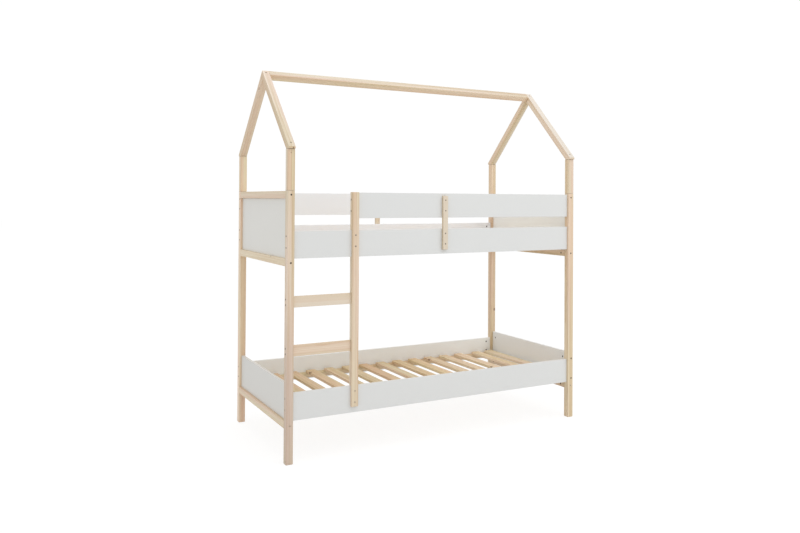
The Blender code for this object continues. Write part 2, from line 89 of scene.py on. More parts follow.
# Colours, linear
PINE_PALE = (0.80, 0.695, 0.560)
PINE_DARK = (0.62, 0.440, 0.280)
SLAT_PALE = (0.82, 0.695, 0.515)
SLAT_DARK = (0.62, 0.420, 0.220)
SAP_PALE = (0.80, 0.705, 0.575, 1)
ROSY = (1.03, 0.970, 0.945, 1)
GOLDEN = (0.985, 1.010, 0.910, 1)
SEAM_TINT = (0.50, 0.42, 0.34, 1)

# How much lighter or darker than its neighbours the photograph shows a piece: partly its own tone, partly
# painted light and shade
TONES_AND_PAINTED_LIGHT = {
    "post_back_left": (1.15, 1.14, 1.21),
    "post_front_right": (1.05, 1.05, 1.05),
    "post_front_left": (1.01, 1.03, 1.08),
    "upper_end_rail_left": (1.18, 1.24, 1.36),
    "roof_post_back_left": (1.06, 1.09, 1.08),
    "roof_post_back_right": (1.08, 1.08, 1.12),
    "roof_post_front_right": (1.05, 1.05, 1.08),
    "roof_post_front_left": (1.00, 0.97, 0.91),
    "cleat_front": (0.85, 0.82, 0.79),
    "ladder_stile": (0.99, 0.96, 0.95),
    "lower_end_panel_left": (0.95, 0.93, 0.90),
    "lower_side_board_back": (1.07, 1.07, 1.06),
    "upper_side_board_back": (1.02, 1.03, 1.08),
    "guard_board_back": (1.02, 1.03, 1.07),
    "upper_end_panel_left": (1.03, 1.01, 0.97),
    "upper_end_panel_right": (1.05, 1.05, 1.04),
}

# Painted light: the lower slats grow paler to the right, between these places along X
PAINTED_SLAT_LIGHT = (0.14, 0.20, 0.32)
PAINTED_SLAT_LIGHT_REACH = (0.25, 0.75)

# Painted light and shade: tints of the faces that look down and of those that look up
TILT_PAINTED_LIGHT = {
    "rafter_": ((1, 1, 1, 1), (0.91, 0.98, 1.11, 1)),
    "ridge": ((1.08, 1.11, 1.11, 1), (0.865, 0.90, 1.02, 1)),
}
TILT_FADE = (0.45, 0.65)

# Painted shade: the front left post darkens towards its foot, between these heights
FOOT_PAINTED_SHADE = (0.86, 0.86, 0.90, 1)
FOOT_FADE = (0.35, 1.00)

# Colours of marks in the wood, of paint, metal and tape, linear
HEART_TINT = (0.93, 0.82, 0.72, 1)
KNOT_COLOUR = (0.25, 0.115, 0.045, 1)
KNOT_RIM = (0.10, 0.045, 0.020, 1)
END_TINT = (0.86, 0.79, 0.71, 1)
WHITE_PALE = (0.765, 0.765, 0.748)
WHITE_DARK = (0.730, 0.730, 0.712)
# Painted light on the boards seen from inside
PAINTED_INNER_LIGHT = (1.17, 1.19, 1.22)
# Bolts and nuts, drawn darker than their steel: painted shade of their recesses
BOLT_PALE = (0.13, 0.105, 0.085, 1)
BOLT_DARK = (0.04, 0.032, 0.026, 1)
# Painted light on the lowest bolts
BOLT_LOW_PAINTED_LIGHT = (0.60, 0.49, 0.38, 1)
# Painted shade on the bolts that face the ends
BOLT_SIDE_PAINTED_SHADE = (0.12, 0.12, 0.12, 1)
LADDER_BOLT_PALE = (0.55, 0.46, 0.37, 1)
LADDER_BOLT_DARK = (0.26, 0.21, 0.17, 1)
# Painted light on the lowest ladder bolts
LADDER_BOLT_LOW_PAINTED_LIGHT = (0.66, 0.54, 0.42, 1)
SCREW_PALE = (0.32, 0.27, 0.22, 1)
SCREW_DARK = (0.13, 0.105, 0.085, 1)
RIGHT_BOLT_PALE = (0.060, 0.050, 0.042, 1)
RIGHT_BOLT_DARK = (0.020, 0.016, 0.013, 1)
NUT_PALE = (0.020, 0.020, 0.021, 1)
NUT_DARK = (0.008, 0.008, 0.009, 1)
STAPLE_PALE = (0.58, 0.57, 0.55, 1)
STAPLE_DARK = (0.38, 0.36, 0.34, 1)
TAPE_PALE = (0.74, 0.70, 0.60, 1)
TAPE_DARK = (0.42, 0.38, 0.31, 1)

# Year rings. Rates are per metre, along the grain first
PITH_NEAR = 0.018
PITH_FAR = 0.085
GRAIN_SHIFT = 6.0
RING_WIDTH = 0.0046
WANDER_RATE = (0.8, 7, 7)
WANDER_REACH = 0.016
RIPPLE_RATE = (9, 45, 45)
RIPPLE_REACH = 0.0016
DRIFT_RATE = (0.31, 1, 1)
DRIFT_REACH = 1.1
LATE_RISE = (0.25, 0.9)
LATE_FALL = (1, 0.93)
VIGOUR_RATE = (0.77, 1, 1)
VIGOUR_FADE = (0.25, 0.75)
LEAST_VIGOUR = 0.35

# Wood figure: rates, limits and weights
FIBRE_RATE = (9, 900, 900)
STREAK_RATE = (0.9, 85, 85)
STREAK_WEIGHT = 0.36
BROAD_RATE = (0.7, 30, 30)
BROAD_WEIGHT = 0.26
BAND_FADE = (0.36, 0.64)
BASE_SHADE = 0.26
LATE_SHADE = 0.50
FIBRE_SHADE = 0.3
HUE_RATE = (0.8, 18, 18)
HUE_FADE = (0.38, 0.62)
SAP_WEIGHT = 0.75
HEART_RADIUS = 0.055
HEART_EDGE = 0.003
HEART_WEIGHT = 0.35
CANAL_RATE = (45, 1100, 1100)
CANAL_FADE = (0.70, 0.78)
CANAL_WEIGHT = 0.35
END_FADE = (0.55, 0.95)
# Painted shade on the lower slats' sides, between the slats
SLAT_SIDE_PAINTED_SHADE = 0.1
EDGE_WEAR = 0.0022
WEAR_WEIGHT = 0.6
SEAM_REACH = (0.0026, 0.0008)
SEAM_WEIGHT = 0.6
TONE_RANGE = 0.028
SLAT_TONE_RANGE = 0.085
WOOD_ROUGHNESS = {"base": 0.46, "fibres": 0.16, "late": -0.08, "end": 0.16}
WOOD_RELIEF = {"late": 0.45, "fibres": 0.40, "canals": -0.8, "knot": 0.35}
WOOD_BUMP = 0.00012

# Sapwood along one side of a bar
SAP_SHARES = (-0.3, 0.5)
SAPLESS_SHARE = 0.6
SAP_WAVE_RATE = (1.5, 12, 12)
SAP_WAVE_REACH = 0.004
SAP_EDGE = 0.0012

# Knots
KNOT_SQUASH = (0.75, 1, 1)
KNOT_RAGGED_RATE = (260, 260, 260)
KNOT_RAGGED_REACH = 0.28
KNOT_FADE = (1.15, 0.8)
KNOT_END_FADE = (0.003, 0)
KNOT_SWELL = 1.6
KNOT_SWELL_SPREAD = 0.55
KNOT_WEIGHT = 0.75
KNOT_RIM_RISE = (0.05, 0.4)
KNOT_RIM_FALL = (0.95, 0.5)
KNOT_RIM_WEIGHT = 0.55
SLAT_KNOT_DEPTH = 0.002
HIDDEN_KNOT_COUNTS = (0.6, 2.2)
HIDDEN_KNOT_ROUNDING = 0.4
HIDDEN_KNOT_RADII = (0.003, 0.007)
HIDDEN_KNOT_SPREAD = 0.9
HIDDEN_KNOT_REACH = 0.9

# Paint
MOTTLE_RATE = (3, 3, 3)
SPECK_RATE = (140, 140, 140)
PEEL_RATE = (420, 420, 420)
THIN_WEIGHT = 0.4
MOTTLE_SHADE = 0.5
SPECK_SHADE = 0.2
PAINT_ROUGHNESS = {"base": 0.36, "mottle": 0.10, "speck": 0.06}
PAINT_BUMP = 0.00003

# Steel
DULL_RATE = (900, 900, 900)
STEEL_ROUGHNESS = {"base": 0.28, "dull": 0.3}
# Heights below which painted light makes the bolts paler, and the turn past which painted shade darkens
# their sides
LOW_BOLT_FADE = (0.50, 0.44)
RIGHT_BOLT_FADE = (0.26, 0.24)
BOLT_SIDE_FADE = (0.5, 0.9)

# Fasteners, drawn in the recesses of the solids. Depths are under the surface of the wood
BOLT_DROP = 0.029
BOLT_SPACING = 0.066
RUNG_BOLT_SPACING = 0.031
PANEL_BOLT_DROP = 0.043
PANEL_BOLT_SPACING = 0.136
NUT_SETBACK = 0.038
BOLT_HEAD_RADIUS = 0.0053
BOLT_SOCKET = 0.0050
BOLT_BEVEL = 0.93
BOLT_SOCKET_LIP = 1.06
BOLT_DEPTHS = {"back": 0.0057, "rim": 0.0008, "face": 0.0003, "lip": 0.0006, "socket": 0.0042}
NUT_RADIUS = 0.0058
NUT_SLOT = (0.0096, 0.0018)
NUT_BEVEL = 0.94
NUT_DEPTHS = {"back": 0.0115, "rim": 0.0006, "face": 0.0003, "slot": 0.0020}
SCREW_HEAD_RADIUS = 0.0042
SCREW_CROSS = (0.0052, 0.0014)
SCREW_BEVEL = 0.95
SCREW_TAPER = 0.6
SCREW_DEPTHS = {"back": 0.0028, "rim": 0.0008, "face": 0.0005, "cross": 0.0022}
SPOKES = 24
SHARP_ANGLE = math.radians(30)
LEAST_SHARE = 1e-6

# Tapes under the upper slats
TAPE_WIDTH = 0.025
TAPE_THICKNESS = 0.0011
TAPE_INSET = 0.150
TAPE_SAG = 0.0012
TAPE_GAP = 0.0001
TAPE_STEPS = 12
TAPE_STRIPS = 4
TAPE_THREADS = 22
TAPE_ROUGHNESS = 0.85
TAPE_SHADE = 0.1
WEAVE_SHADE = 0.6
WEAVE_STRENGTH = 0.6
FUZZ_RATE = (1500, 1500, 1500)
FUZZ_REACH = 0.2
STAPLE_CROWN = 0.010
STAPLE_WIRE = 0.0005
STAPLE_LEG = 0.004

ENDS = {"left": -1, "right": 1}
FACES = {"front": -1, "back": 1}
RAILS = ("end_top_rail_", "upper_end_rail_", "lower_end_rail_")
X_WAY = Vector((1, 0, 0))


def middle(node):
    low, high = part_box(node)
    return (low + high) / 2


def plug(tree, socket, value):
    if isinstance(value, bpy.types.NodeSocket):
        tree.links.new(value, socket)
    else:
        socket.default_value = value


def new_node(tree, kind, inputs=None, **settings):
    node = tree.nodes.new("ShaderNode" + kind)
    for name, value in settings.items():
        setattr(node, name, value)
    for key, value in (inputs or {}).items():
        plug(tree, node.inputs[key], value)
    return node


def calc(tree, operation, *values):
    node = new_node(tree, "Math", dict(enumerate(values)), operation=operation)
    return node.outputs[0]


def vector_calc(tree, operation, *values):
    node = new_node(tree, "VectorMath", dict(enumerate(values)), operation=operation)
    return node.outputs["Value" if operation in ("DOT_PRODUCT", "LENGTH") else "Vector"]


def noise(tree, place, rate, detail=2.0):
    """Noise between 0 and 1, with its rate per metre along each axis."""
    scaled = vector_calc(tree, "MULTIPLY", place, rate)
    inputs = {"Vector": scaled, "Scale": 1.0, "Detail": detail}
    return new_node(tree, "TexNoise", inputs).outputs["Fac"]


def swing(tree, place, rate, reach, detail=2.0):
    """Noise about zero, of the given reach."""
    centred = calc(tree, "SUBTRACT", noise(tree, place, rate, detail), 0.5)
    return calc(tree, "MULTIPLY", centred, 2 * reach)


def band(tree, place, rate, weight):
    """Broad bands about zero, with the given weight between the darkest and the lightest."""
    contrast = fade(tree, noise(tree, place, rate, 3), *BAND_FADE)
    return calc(tree, "MULTIPLY", calc(tree, "SUBTRACT", contrast, 0.5), weight)


def fade(tree, value, start, end):
    """Rises smoothly from 0 at start to 1 at end, whichever of them is larger."""
    inputs = {"Value": value, "From Min": start, "From Max": end}
    return new_node(tree, "MapRange", inputs, interpolation_type="SMOOTHSTEP").outputs["Result"]


def mix_colours(tree, factor, first, second, kind="MIX"):
    node = new_node(tree, "Mix", data_type="RGBA", blend_type=kind)
    for index, value in ((0, factor), (6, first), (7, second)):
        plug(tree, node.inputs[index], value)
    return node.outputs[2]


def total(tree, first, *others):
    for other in others:
        first = calc(tree, "ADD", first, other)
    return first


def new_group(name, inputs, outputs):
    """A node group with its input and output nodes, which are returned too."""
    group = bpy.data.node_groups.new(name, "ShaderNodeTree")
    for label, kind in inputs.items():
        group.interface.new_socket(label, in_out="INPUT", socket_type="NodeSocket" + kind)
    for label, kind in outputs.items():
        group.interface.new_socket(label, in_out="OUTPUT", socket_type="NodeSocket" + kind)
    start = group.nodes.new("NodeGroupInput").outputs
    end = group.nodes.new("NodeGroupOutput").inputs
    return group, start, end


def use_group(tree, group, inputs):
    node = tree.nodes.new("ShaderNodeGroup")
    node.node_tree = group
    for key, value in inputs.items():
        plug(tree, node.inputs[key], value)
    return node.outputs


def edge_group():
    """Distance to the nearest edge of a bar that is centred on the origin."""
    inputs = {"Place": "Vector", "Half": "Vector"}
    group, start, end = new_group("edge distance", inputs, {"Distance": "Float"})
    room = vector_calc(group, "SUBTRACT", start["Half"], vector_calc(group, "ABSOLUTE", start["Place"]))
    sides = new_node(group, "SeparateXYZ", {0: room}).outputs
    least = calc(group, "MINIMUM", sides[0], sides[1])
    most = calc(group, "MAXIMUM", sides[0], sides[1])
    second = calc(group, "MAXIMUM", least, calc(group, "MINIMUM", most, sides[2]))
    plug(group, end["Distance"], second)
    return group


def knot_group():
    """A branch that runs through the wood: its mask, and how far it swells the rings."""
    inputs = {"Place": "Vector", "Centre": "Vector", "Branch": "Vector"}
    inputs |= {"Radius": "Float", "Reach": "Float"}
    group, start, end = new_group("knot", inputs, {"Mask": "Float", "Swell": "Float"})
    offset = vector_calc(group, "SUBTRACT", start["Place"], start["Centre"])
    along = vector_calc(group, "PROJECT", offset, start["Branch"])
    side = vector_calc(group, "MULTIPLY", vector_calc(group, "SUBTRACT", offset, along), KNOT_SQUASH)
    distance = calc(group, "DIVIDE", vector_calc(group, "LENGTH", side), start["Radius"])
    uneven = swing(group, start["Place"], KNOT_RAGGED_RATE, KNOT_RAGGED_REACH)
    ragged = calc(group, "ADD", distance, uneven)
    depth = vector_calc(group, "LENGTH", along)
    near = fade(group, calc(group, "SUBTRACT", depth, start["Reach"]), *KNOT_END_FADE)
    plug(group, end["Mask"], calc(group, "MULTIPLY", fade(group, ragged, *KNOT_FADE), near))
    away = calc(group, "MULTIPLY", distance, KNOT_SWELL_SPREAD)
    spread = calc(group, "ADD", 1, calc(group, "POWER", away, 2))
    swell = calc(group, "DIVIDE", calc(group, "MULTIPLY", start["Radius"], KNOT_SWELL), spread)
    plug(group, end["Swell"], calc(group, "MULTIPLY", swell, near))
    return group


def add_rings(group, place, swell):
    """The year rings' late wood between 0 and 1, and the distance from the pith."""
    radius = vector_calc(group, "LENGTH", vector_calc(group, "MULTIPLY", place, (0, 1, 1)))
    wander = swing(group, place, WANDER_RATE, WANDER_REACH, 3)
    ripple = swing(group, place, RIPPLE_RATE, RIPPLE_REACH, 2)
    radius = total(group, radius, wander, ripple, swell)
    years = calc(group, "DIVIDE", radius, RING_WIDTH)
    drift = new_node(group, "CombineXYZ", {0: years}).outputs[0]
    years = calc(group, "ADD", years, swing(group, drift, DRIFT_RATE, DRIFT_REACH))
    season = calc(group, "FRACT", years)
    late = calc(group, "MULTIPLY", fade(group, season, *LATE_RISE), fade(group, season, *LATE_FALL))
    own = new_node(group, "CombineXYZ", {0: calc(group, "FLOOR", years)}).outputs[0]
    vigour = fade(group, noise(group, own, VIGOUR_RATE), *VIGOUR_FADE)
    weight = calc(group, "ADD", LEAST_VIGOUR, calc(group, "MULTIPLY", vigour, 1 - LEAST_VIGOUR))
    return calc(group, "MULTIPLY", late, weight), radius


def tinted(group, weight, colour, tint):
    """The colour, multiplied by the tint as far as the weight says."""
    return mix_colours(group, weight, colour, mix_colours(group, 1, colour, tint, "MULTIPLY"))


def wood_group():
    """Solid wood, grown along X about the origin."""
    inputs = {"Place": "Vector", "Edge": "Float", "End": "Float", "Knot": "Float", "Swell": "Float"}
    inputs |= {"Sap": "Float", "Seam": "Float", "Pale": "Color", "Dark": "Color"}
    outputs = {"Color": "Color", "Roughness": "Float", "Height": "Float"}
    group, start, end = new_group("pine wood", inputs, outputs)
    place = start["Place"]
    late, radius = add_rings(group, place, start["Swell"])
    fibres = noise(group, place, FIBRE_RATE, 2)
    shade = total(
        group,
        BASE_SHADE,
        calc(group, "MULTIPLY", late, LATE_SHADE),
        calc(group, "MULTIPLY", calc(group, "SUBTRACT", fibres, 0.5), FIBRE_SHADE),
        band(group, place, STREAK_RATE, STREAK_WEIGHT),
        band(group, place, BROAD_RATE, BROAD_WEIGHT),
    )
    shade = calc(group, "MINIMUM", calc(group, "MAXIMUM", shade, 0), 1)
    colour = mix_colours(group, shade, start["Pale"], start["Dark"])
    hue = fade(group, noise(group, place, HUE_RATE, 2), *HUE_FADE)
    colour = mix_colours(group, 1, colour, mix_colours(group, hue, ROSY, GOLDEN), "MULTIPLY")
    colour = mix_colours(group, calc(group, "MULTIPLY", start["Sap"], SAP_WEIGHT), colour, SAP_PALE)
    heart = fade(group, radius, HEART_RADIUS + HEART_EDGE, HEART_RADIUS - HEART_EDGE)
    colour = tinted(group, calc(group, "MULTIPLY", heart, HEART_WEIGHT), colour, HEART_TINT)
    canals = fade(group, noise(group, place, CANAL_RATE, 0), *CANAL_FADE)
    canals = calc(group, "MULTIPLY", canals, CANAL_WEIGHT)
    colour = tinted(group, canals, colour, END_TINT)
    colour = tinted(group, start["End"], colour, END_TINT)
    worn = calc(group, "MULTIPLY", fade(group, start["Edge"], EDGE_WEAR, 0), WEAR_WEIGHT)
    colour = tinted(group, worn, colour, END_TINT)
    colour = mix_colours(group, start["Seam"], colour, SEAM_TINT)
    knot = start["Knot"]
    colour = mix_colours(group, calc(group, "MULTIPLY", knot, KNOT_WEIGHT), colour, KNOT_COLOUR)
    rim = calc(group, "MULTIPLY", fade(group, knot, *KNOT_RIM_RISE), fade(group, knot, *KNOT_RIM_FALL))
    colour = mix_colours(group, calc(group, "MULTIPLY", rim, KNOT_RIM_WEIGHT), colour, KNOT_RIM)
    plug(group, end["Color"], colour)
    sheen = total(
        group,
        WOOD_ROUGHNESS["base"],
        calc(group, "MULTIPLY", fibres, WOOD_ROUGHNESS["fibres"]),
        calc(group, "MULTIPLY", late, WOOD_ROUGHNESS["late"]),
        calc(group, "MULTIPLY", start["End"], WOOD_ROUGHNESS["end"]),
    )
    plug(group, end["Roughness"], sheen)
    relief = total(
        group,
        calc(group, "MULTIPLY", late, WOOD_RELIEF["late"]),
        calc(group, "MULTIPLY", fibres, WOOD_RELIEF["fibres"]),
        calc(group, "MULTIPLY", canals, WOOD_RELIEF["canals"]),
        calc(group, "MULTIPLY", knot, WOOD_RELIEF["knot"]),
    )
    plug(group, end["Height"], relief)
    return group


def paint_group():
    """Satin paint, rolled on board: faint mottle and orange peel."""
    inputs = {"Place": "Vector", "Edge": "Float", "Pale": "Color", "Dark": "Color"}
    outputs = {"Color": "Color", "Roughness": "Float", "Height": "Float"}
    group, start, end = new_group("white paint", inputs, outputs)
    mottle = noise(group, start["Place"], MOTTLE_RATE, 3)
    speck = noise(group, start["Place"], SPECK_RATE, 2)
    shade = total(
        group,
        calc(group, "MULTIPLY", mottle, MOTTLE_SHADE),
        calc(group, "MULTIPLY", speck, SPECK_SHADE),
        calc(group, "MULTIPLY", fade(group, start["Edge"], EDGE_WEAR, 0), THIN_WEIGHT),
    )
    plug(group, end["Color"], mix_colours(group, shade, start["Pale"], start["Dark"]))
    satin = total(
        group,
        PAINT_ROUGHNESS["base"],
        calc(group, "MULTIPLY", mottle, PAINT_ROUGHNESS["mottle"]),
        calc(group, "MULTIPLY", speck, PAINT_ROUGHNESS["speck"]),
    )
    plug(group, end["Roughness"], satin)
    plug(group, end["Height"], noise(group, start["Place"], PEEL_RATE, 1))
    return group


EDGE = edge_group()
KNOT = knot_group()
WOOD = wood_group()
PAINT = paint_group()


def new_material(name):
    material = bpy.data.materials.new(name)
    material.use_nodes = True
    return material, material.node_tree, material.node_tree.nodes["Principled BSDF"]


def finish_surface(tree, shader, made, bump):
    """Links a group's colour, roughness and relief to the shader."""
    plug(tree, shader.inputs["Base Color"], made["Color"])
    plug(tree, shader.inputs["Roughness"], made["Roughness"])
    relief = new_node(tree, "Bump", {"Height": made["Height"], "Distance": bump, "Strength": 1.0})
    plug(tree, shader.inputs["Normal"], relief.outputs["Normal"])


def bar_frame(node):
    """How a piece lies: the turn that brings its grain onto X, its middle and half its size."""
    low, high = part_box(node)
    centre = (low + high) / 2
    half = (high - low) / 2
    if node.startswith("rafter"):
        face = math.copysign(1, centre.y)
        grain = Vector((0, -face, 1)).normalized()
        centre.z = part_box(node)[1].z - half.x * math.sqrt(2) - abs(centre.y)
        half = Vector((half.y * math.sqrt(2), half.x, half.x))
        return grain.rotation_difference(X_WAY), centre, half, grain
    if node == "ridge_bar":
        half = Vector((half.x, half.y / math.sqrt(2), half.z / math.sqrt(2)))
        return Quaternion(X_WAY, math.pi / 4), centre, half, X_WAY
    axis = max(range(3), key=lambda index: half[index])
    grain = Vector([float(index == axis) for index in range(3)])
    turn = grain.rotation_difference(X_WAY)
    turned = turn @ half
    return turn, centre, Vector([abs(side) for side in turned]), grain


def bar_place(tree, turn, centre):
    """Coordinates along the piece, from its middle."""
    seen = new_node(tree, "TexCoord")
    inputs = {"Vector": seen.outputs["Object"], "Rotation": turn.to_euler(), "Location": -(turn @ centre)}
    return new_node(tree, "Mapping", inputs).outputs[0], seen.outputs["Normal"]


def tone_and_painted_light(node, colour):
    """The colour, as much lighter or darker as the photograph shows this piece: its own tone with painted
    light and shade.
    """
    tone = TONES_AND_PAINTED_LIGHT.get(node, (1, 1, 1))
    # Painted light on the lower slats, growing towards the right
    if node.startswith("lower_slat"):
        start, end = PAINTED_SLAT_LIGHT_REACH
        share = min(max((middle(node).x - start) / (end - start), 0), 1)
        tone = [1 + gain * share for gain in PAINTED_SLAT_LIGHT]
    return [part * more for part, more in zip(colour, tone)]


def toned(colour, chance, reach):
    """The colour, a little lighter or darker and warmer or cooler."""
    level = 1 + chance.uniform(-reach, reach)
    warmth = chance.uniform(-reach, reach)
    return (colour[0] * level, colour[1] * level * (1 - warmth / 2), colour[2] * level * (1 - warmth), 1)


def pith_offset(chance):
    """Where a bar was sawn from the trunk: the pith's direction and distance."""
    angle = chance.uniform(0, math.tau)
    away = chance.uniform(PITH_NEAR, PITH_FAR)
    shift = chance.uniform(-GRAIN_SHIFT, GRAIN_SHIFT)
    return Vector((shift, away * math.cos(angle), away * math.sin(angle)))


def height_of(tree):
    """Height over the floor at the point that is shaded."""
    return new_node(tree, "SeparateXYZ", {0: new_node(tree, "TexCoord").outputs["Object"]}).outputs[2]


def joint_seam(tree, node):
    """Dark lines where the roof posts meet the posts and the rafters."""
    if not node.startswith(("post_", "roof_post_", "rafter_")):
        return 0.0
    height = height_of(tree)
    low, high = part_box("roof_post_front_left")
    seams = []
    for joint in (low.z, high.z):
        away = calc(tree, "ABSOLUTE", calc(tree, "SUBTRACT", height, joint))
        seams.append(fade(tree, away, *SEAM_REACH))
    return calc(tree, "MULTIPLY", calc(tree, "MAXIMUM", *seams), SEAM_WEIGHT)


def sap_side(tree, node, place, half, chance):
    """Pale sapwood along one side of some bars."""
    share = chance.uniform(*SAP_SHARES)
    side = chance.choice((-1, 1))
    if node == "ladder_stile":
        share, side = 0.0, 1
    elif chance.random() < SAPLESS_SHARE or node.startswith("lower_slat"):
        return 0.0
    across = new_node(tree, "SeparateXYZ", {0: place}).outputs[1]
    across = calc(tree, "ADD", across, swing(tree, place, SAP_WAVE_RATE, SAP_WAVE_REACH, 2))
    line = side * share * half.y
    return fade(tree, across, line - side * SAP_EDGE, line + side * SAP_EDGE)


def end_grain(tree, node, normal, grain):
    """1 on the ends of a bar, and a little on the sides of the lower slats, as painted shade between
    them.
    """
    along = calc(tree, "ABSOLUTE", vector_calc(tree, "DOT_PRODUCT", normal, grain))
    facing = fade(tree, along, *END_FADE)
    if node.startswith("lower_slat"):
        # Painted shade on the slats' sides
        sawn = calc(tree, "ABSOLUTE", vector_calc(tree, "DOT_PRODUCT", normal, X_WAY))
        facing = calc(tree, "MAXIMUM", facing, calc(tree, "MULTIPLY", sawn, SLAT_SIDE_PAINTED_SHADE))
    return facing


def add_knots(tree, place, turn, centre, knots):
    """The mask and the swell of all the knots of a piece together."""
    mask = 0.0
    swell = 0.0
    for point, branch, radius, reach in knots:
        inputs = {
            "Place": place,
            "Centre": turn @ (Vector(point) - centre),
            "Branch": turn @ Vector(branch),
            "Radius": radius,
            "Reach": reach,
        }
        made = use_group(tree, KNOT, inputs)
        mask = calc(tree, "MAXIMUM", mask, made["Mask"])
        swell = calc(tree, "ADD", swell, made["Swell"])
    return mask, swell


def tone_reach(knots, usual):
    """How far a piece's tone may differ: by its last knot's reach, or by the usual one without knots."""
    return knots[-1][3] if knots else usual


def painted_face_light(tree, node, normal, colour):
    """The colour with painted light and shade on the piece's tilted faces and towards its foot."""
    # Painted light and shade, by which way a face looks
    for start, (low_tint, high_tint) in TILT_PAINTED_LIGHT.items():
        if node.startswith(start):
            up = new_node(tree, "SeparateXYZ", {0: normal}).outputs[2]
            shade = mix_colours(tree, fade(tree, up, *TILT_FADE), low_tint, high_tint)
            colour = mix_colours(tree, 1, colour, shade, "MULTIPLY")
    # Painted shade towards the front left post's foot
    if node == "post_front_left":
        shade = mix_colours(tree, fade(tree, height_of(tree), *FOOT_FADE), FOOT_PAINTED_SHADE, (1, 1, 1, 1))
        colour = mix_colours(tree, 1, colour, shade, "MULTIPLY")
    return colour


def wood_material(node, pale, dark, knots, usual_reach):
    chance = random.Random(node)
    turn, centre, half, grain = bar_frame(node)
    material, tree, shader = new_material(node + "_wood")
    place, normal = bar_place(tree, turn, centre)
    mask, swell = add_knots(tree, place, turn, centre, knots)
    reach = tone_reach(knots, usual_reach)
    inputs = {
        "Place": vector_calc(tree, "ADD", place, pith_offset(chance)),
        "Edge": use_group(tree, EDGE, {"Place": place, "Half": half})["Distance"],
        "End": end_grain(tree, node, normal, grain),
        "Knot": mask,
        "Swell": swell,
        "Pale": toned(tone_and_painted_light(node, pale), chance, reach),
        "Dark": toned(tone_and_painted_light(node, dark), chance, reach),
        "Seam": joint_seam(tree, node),
        "Sap": sap_side(tree, node, place, half, chance),
    }
    made = use_group(tree, WOOD, inputs)
    finish_surface(tree, shader, made, WOOD_BUMP)
    plug(tree, shader.inputs["Base Color"], painted_face_light(tree, node, normal, made["Color"]))
    return material


def paint_material(node):
    """White paint, with painted light that makes the boards that the photograph shows from inside
    brighter.
    """
    turn, centre, half, _ = bar_frame(node)
    material, tree, shader = new_material(node + "_paint")
    place, _ = bar_place(tree, turn, centre)
    edge = use_group(tree, EDGE, {"Place": place, "Half": half})["Distance"]
    # Painted light on the boards whose names end in back or right
    gain = tone_and_painted_light(node, PAINTED_INNER_LIGHT if node.endswith(("back", "right")) else (1, 1, 1))
    pale = [part * more for part, more in zip(WHITE_PALE, gain)]
    dark = [part * more for part, more in zip(WHITE_DARK, gain)]
    inputs = {"Place": place, "Edge": edge, "Pale": (*pale, 1), "Dark": (*dark, 1)}
    made = use_group(tree, PAINT, inputs)
    finish_surface(tree, shader, made, PAINT_BUMP)
    return material


def steel_material(name, pale, dark, low=None, low_fade=LOW_BOLT_FADE):
    """Plated steel, dulled in places. Painted light makes the lowest bolts brighter, painted shade those
    that face the ends darker.
    """
    material, tree, shader = new_material(name)
    seen = new_node(tree, "TexCoord").outputs
    dull = noise(tree, seen["Object"], DULL_RATE, 3)
    colour = mix_colours(tree, dull, pale, dark)
    if low:
        # Painted light on the lowest bolts
        colour = mix_colours(tree, fade(tree, height_of(tree), *low_fade), colour, low)
        # Painted shade on the bolts that face the ends
        endwise = calc(tree, "ABSOLUTE", new_node(tree, "SeparateXYZ", {0: seen["Normal"]}).outputs[0])
        colour = tinted(tree, fade(tree, endwise, *BOLT_SIDE_FADE), colour, BOLT_SIDE_PAINTED_SHADE)
    plug(tree, shader.inputs["Base Color"], colour)
    sheen = calc(tree, "MULTIPLY", dull, STEEL_ROUGHNESS["dull"])
    plug(tree, shader.inputs["Roughness"], total(tree, STEEL_ROUGHNESS["base"], sheen))
    shader.inputs["Metallic"].default_value = 1.0
    return material


def tape_material():
    """Woven tape: warp and weft that pass over each other by turns."""
    material, tree, shader = new_material("woven_tape")
    place = new_node(tree, "TexCoord").outputs["Object"]
    sides = new_node(tree, "SeparateXYZ", {0: place}).outputs
    pitch = TAPE_WIDTH / TAPE_THREADS
    warp = calc(tree, "SINE", calc(tree, "MULTIPLY", sides[0], math.tau / pitch))
    weft = calc(tree, "SINE", calc(tree, "MULTIPLY", sides[1], math.tau / pitch))
    weave = calc(tree, "ADD", 0.5, calc(tree, "MULTIPLY", calc(tree, "MULTIPLY", warp, weft), 0.5))
    fuzz = swing(tree, place, FUZZ_RATE, FUZZ_REACH)
    shade = total(tree, TAPE_SHADE, calc(tree, "MULTIPLY", weave, WEAVE_SHADE), fuzz)
    plug(tree, shader.inputs["Base Color"], mix_colours(tree, shade, TAPE_PALE, TAPE_DARK))
    shader.inputs["Roughness"].default_value = TAPE_ROUGHNESS
    inputs = {"Height": weave, "Distance": pitch / 4, "Strength": WEAVE_STRENGTH}
    plug(tree, shader.inputs["Normal"], new_node(tree, "Bump", inputs).outputs["Normal"])
    return material


